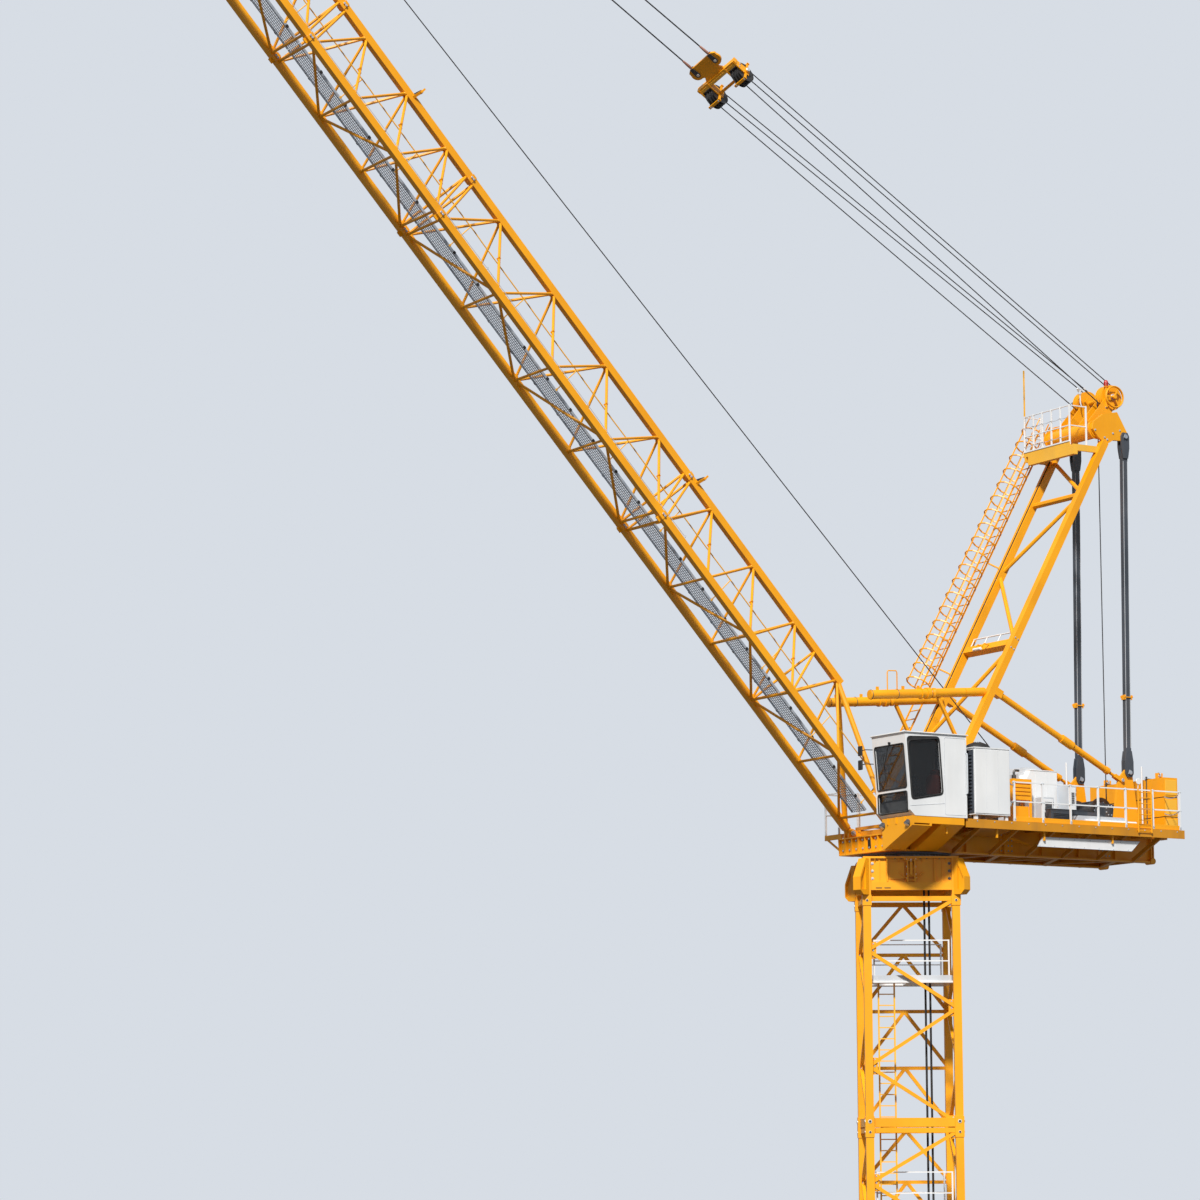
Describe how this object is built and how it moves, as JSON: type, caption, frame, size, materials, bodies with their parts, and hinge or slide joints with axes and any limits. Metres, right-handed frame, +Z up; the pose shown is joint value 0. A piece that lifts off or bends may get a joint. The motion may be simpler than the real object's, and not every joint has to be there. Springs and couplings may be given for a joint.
{
  "type": "luffing-jib tower crane, half-scale model",
  "caption": "Top-slewing tower crane with a luffing lattice jib, A-frame, rear machinery platform, side cab and square lattice tower, as a half-scale model",
  "frame": {"origin": "centre of the tower's foundation face, on the slewing axis", "axes": "+Z up along the slewing axis, +X under the jib as it stands at rest, +Y towards the cab's side"},
  "size_m": [19.6704, 2.437, 29.8133],
  "materials": {
    "yellow_paint": "satin signal-yellow enamel, slightly chalked",
    "white_paint": "gloss white enamel",
    "grey_paint": "light grey enamel",
    "dark_paint": "dark grey-blue enamel",
    "rope_steel": "greased black wire rope",
    "cable_rubber": "black cable sheath",
    "galvanised": "galvanised grating",
    "machined_steel": "greased machined steel",
    "tinted_glass": "smoke-tinted safety glass",
    "hook_red": "red enamel on forged steel"
  },
  "bodies": {
    "tower": {"base_frame": "yellow_paint", "tower_section_1": "yellow_paint", "tower_section_2": "yellow_paint", "tower_section_3": "yellow_paint", "tower_section_4": "yellow_paint", "tower_ladders": "yellow_paint", "tower_platforms": "white_paint", "power_cables": "cable_rubber", "tower_head": "yellow_paint", "ring_gear": "machined_steel"},
    "upper": {"slewing_ring": "dark_paint", "left_girder": "yellow_paint", "right_girder": "yellow_paint", "girder_bracing": "yellow_paint", "jib_pivot_frame": "yellow_paint", "cab_console": "yellow_paint", "deck": "yellow_paint", "deck_struts": "yellow_paint", "left_railing": "white_paint", "right_railing": "white_paint", "front_platform": "yellow_paint", "cab_shell": "white_paint", "cab_glass": "tinted_glass", "control_cabinet": "white_paint", "machine_hoods": "grey_paint", "generator_box": "yellow_paint", "hoist_winch": "dark_paint", "luffing_winch": "dark_paint", "ballast": "yellow_paint", "left_frame_leg": "yellow_paint", "right_frame_leg": "yellow_paint", "frame_bracing": "yellow_paint", "frame_head": "yellow_paint", "head_platform": "yellow_paint", "tie_bars": "dark_paint", "rear_struts": "yellow_paint", "backstops": "yellow_paint", "caged_ladder": "yellow_paint", "lead_rope": "rope_steel"},
    "jib": {"jib_foot_section": "yellow_paint", "jib_section_2": "yellow_paint", "jib_section_3": "yellow_paint", "jib_section_4": "yellow_paint", "jib_head_section": "yellow_paint", "jib_walkway": "galvanised"},
    "head_sheaves": {"head_sheaves": "machined_steel"},
    "hoist_drum": {"hoist_drum": "machined_steel"},
    "luffing_drum": {"luffing_drum": "machined_steel"},
    "jib_tip_sheave": {"jib_tip_sheave": "machined_steel"},
    "jib_top_sheave": {"jib_top_sheave": "machined_steel"},
    "luffing_ropes": {"luffing_ropes": "rope_steel"},
    "floating_block": {"floating_block": "yellow_paint"},
    "block_sheaves": {"block_sheaves": "machined_steel"},
    "pendants": {"jib_pendants": "rope_steel"},
    "hoist_rope": {"hoist_rope": "rope_steel"},
    "hoist_rope_end": {"hoist_rope_end": "rope_steel"},
    "hook_ropes": {"hook_ropes": "rope_steel"},
    "hook_block": {"hook_block": "yellow_paint"},
    "hook_block_sheave": {"hook_block_sheave": "machined_steel"},
    "hook": {"hook": "hook_red"}
  },
  "joints": [
    {"name": "slew", "type": "hinge", "parent": "tower", "child": "upper", "pos_m": [0, 0, 12.64], "axis": [0, 0, 1], "continuous": true},
    {"name": "luff", "type": "hinge", "parent": "upper", "child": "jib", "pos_m": [0.545, 0, 12.94], "axis": [0, -1, 0], "range_deg": [-32.35, 29.65]},
    {"name": "luffing_rope_swing", "type": "hinge", "parent": "upper", "child": "luffing_ropes", "pos_m": [-3.28004, 0, 18.90984], "axis": [0, -1, 0], "range_deg": [-27.26, 24.98]},
    {"name": "floating_block_travel", "type": "slide", "parent": "luffing_ropes", "child": "floating_block", "axis": [0.9305, 0, 0.3663], "range_m": [-3.7965, 4.14222], "deforming": ["luffing_ropes"]},
    {"name": "pendant_swing", "type": "hinge", "parent": "jib", "child": "pendants", "pos_m": [14.57473, 0, 29.50628], "axis": [0, -1, 0], "range_deg": [-1.5, 1.5]},
    {"name": "hoist_rope_swing", "type": "hinge", "parent": "upper", "child": "hoist_rope", "pos_m": [-1.95, 0, 13.34], "axis": [0, -1, 0], "range_deg": [-31.02, 28.43]},
    {"name": "hoist_rope_reach", "type": "slide", "parent": "hoist_rope", "child": "hoist_rope_end", "axis": [0.7081, 0, 0.7061], "range_m": [-1.0029, 1.09422], "deforming": ["hoist_rope", "hoist_rope_end"]},
    {"name": "hook_rope_hang", "type": "hinge", "parent": "jib", "child": "hook_ropes", "pos_m": [15.63449, 0, 29.29146], "axis": [0, -1, 0], "range_deg": [-30.24, 33]},
    {"name": "hook_travel", "type": "slide", "parent": "hook_ropes", "child": "hook_block", "axis": [0, 0, 1], "range_m": [-11, 4.5], "deforming": ["hook_ropes"]},
    {"name": "hook_swivel", "type": "hinge", "parent": "hook_block", "child": "hook", "pos_m": [15.63449, 0, 23.06146], "axis": [0, 0, 1], "continuous": true},
    {"name": "hook_sheave_turn", "type": "hinge", "parent": "hook_block", "child": "hook_block_sheave", "pos_m": [15.63449, 0, 23.29146], "axis": [0, -1, 0], "continuous": true},
    {"name": "block_sheaves_turn", "type": "hinge", "parent": "floating_block", "child": "block_sheaves", "pos_m": [2.61066, 0, 22.40585], "axis": [0.2435, -0.8788, -0.4103], "continuous": true},
    {"name": "head_sheaves_turn", "type": "hinge", "parent": "upper", "child": "head_sheaves", "pos_m": [-3.28004, 0, 18.90984], "axis": [0, -1, 0], "continuous": true},
    {"name": "jib_tip_sheave_turn", "type": "hinge", "parent": "jib", "child": "jib_tip_sheave", "pos_m": [15.63449, 0, 29.29146], "axis": [0, -1, 0], "continuous": true},
    {"name": "jib_top_sheave_turn", "type": "hinge", "parent": "jib", "child": "jib_top_sheave", "pos_m": [14.41896, 0, 29.66337], "axis": [0, -1, 0], "continuous": true},
    {"name": "hoist_drum_turn", "type": "hinge", "parent": "upper", "child": "hoist_drum", "pos_m": [-1.95, 0, 13.34], "axis": [0, -1, 0], "continuous": true},
    {"name": "luffing_drum_turn", "type": "hinge", "parent": "upper", "child": "luffing_drum", "pos_m": [-2.99, 0, 13.34], "axis": [0, -1, 0], "continuous": true}
  ],
  "couplings": [
    {"joint": "luffing_rope_swing", "follows": "luff", "ratio": 0.826},
    {"joint": "floating_block_travel", "follows": "luff", "m_per_rad": -7.1925},
    {"joint": "pendant_swing", "follows": "luff", "ratio": -0.01},
    {"joint": "hoist_rope_swing", "follows": "luff", "ratio": 0.94},
    {"joint": "hoist_rope_reach", "follows": "luff", "m_per_rad": -1.9},
    {"joint": "hook_rope_hang", "follows": "luff", "ratio": -1}
  ]
}
